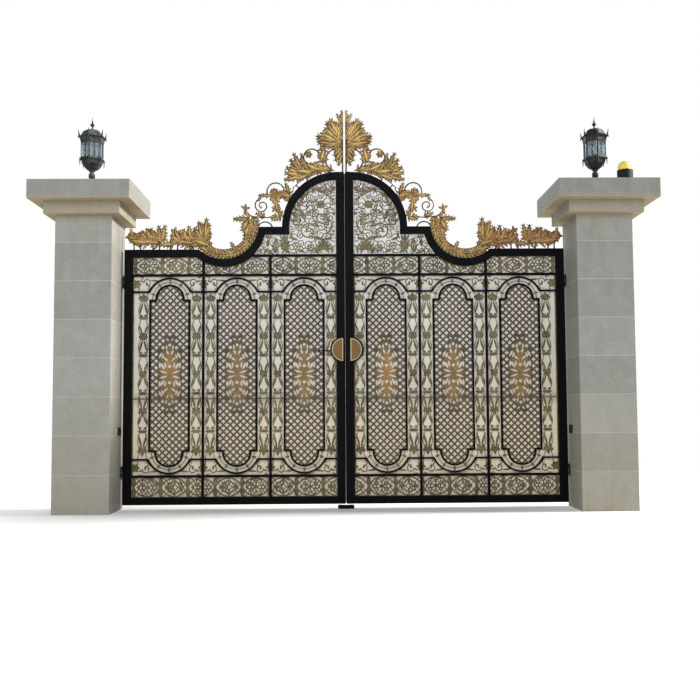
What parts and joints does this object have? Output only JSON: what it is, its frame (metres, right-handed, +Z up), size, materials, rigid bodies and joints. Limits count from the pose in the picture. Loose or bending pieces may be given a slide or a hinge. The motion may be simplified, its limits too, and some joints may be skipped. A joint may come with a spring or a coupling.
{
  "type": "wrought iron driveway gate",
  "caption": "Double-leaf wrought iron driveway gate with swept head, lattice panels and leaf cresting, hung between stone piers with lanterns.",
  "frame": {"origin": "centre of the left pier's foot, as seen from the street", "axes": "+X along the gate to the right pier, +Y from the street into the drive, +Z up"},
  "size_m": [4.95, 0.8, 3.3328],
  "materials": {
    "limestone": "honed cladding with dark joints",
    "black_paint": "satin",
    "gold_paint": "hand brushed gold over dark ground",
    "antique_gold": "antique gold, dull",
    "cream_sheet": "satin",
    "lantern_bronze": "dark bronze with green bloom",
    "clear_glass": "seeded",
    "amber_lens": "gloss",
    "black_plastic": "matte"
  },
  "bodies": {
    "posts": {"left_pier": "limestone", "right_pier": "limestone", "left_pier_neck": "limestone", "right_pier_neck": "limestone", "left_pier_cap": "limestone", "right_pier_cap": "limestone", "left_lantern_base": "lantern_bronze", "left_lantern_cage": "lantern_bronze", "left_lantern_glass": "clear_glass", "left_lantern_roof": "lantern_bronze", "right_lantern_base": "lantern_bronze", "right_lantern_cage": "lantern_bronze", "right_lantern_glass": "clear_glass", "right_lantern_roof": "lantern_bronze", "beacon_base": "black_plastic", "beacon_dome": "amber_lens", "photocells": "black_plastic", "ground_stop": "black_paint", "left_hinge_brackets": "black_paint", "right_hinge_brackets": "black_paint"},
    "left_leaf": {"left_hinge_stile": "black_paint", "left_meeting_stile": "black_paint", "left_bottom_rail": "black_paint", "left_head_rail": "black_paint", "left_brace_rail": "black_paint", "left_bars": "black_paint", "left_lattice_1": "antique_gold", "left_lattice_2": "antique_gold", "left_lattice_3": "antique_gold", "left_surrounds": "antique_gold", "left_friezes": "antique_gold", "left_tympanum": "antique_gold", "left_crest": "gold_paint", "left_backing": "cream_sheet", "left_lock_rosette": "gold_paint", "lock_lever": "black_paint", "left_hinge_straps": "black_paint"},
    "right_leaf": {"right_hinge_stile": "black_paint", "right_meeting_stile": "black_paint", "right_bottom_rail": "black_paint", "right_head_rail": "black_paint", "right_brace_rail": "black_paint", "right_bars": "black_paint", "right_lattice_1": "antique_gold", "right_lattice_2": "antique_gold", "right_lattice_3": "antique_gold", "right_surrounds": "antique_gold", "right_friezes": "antique_gold", "right_tympanum": "antique_gold", "right_crest": "gold_paint", "right_backing": "cream_sheet", "right_lock_rosette": "gold_paint", "right_hinge_straps": "black_paint"}
  },
  "joints": [
    {"name": "left_leaf_swing", "type": "hinge", "parent": "posts", "child": "left_leaf", "pos_m": [0.253, 0.178, 0.3], "axis": [0, 0, 1], "range_deg": [0, 90]},
    {"name": "right_leaf_swing", "type": "hinge", "parent": "posts", "child": "right_leaf", "pos_m": [3.897, 0.178, 0.3], "axis": [0, 0, -1], "range_deg": [0, 90]}
  ]
}
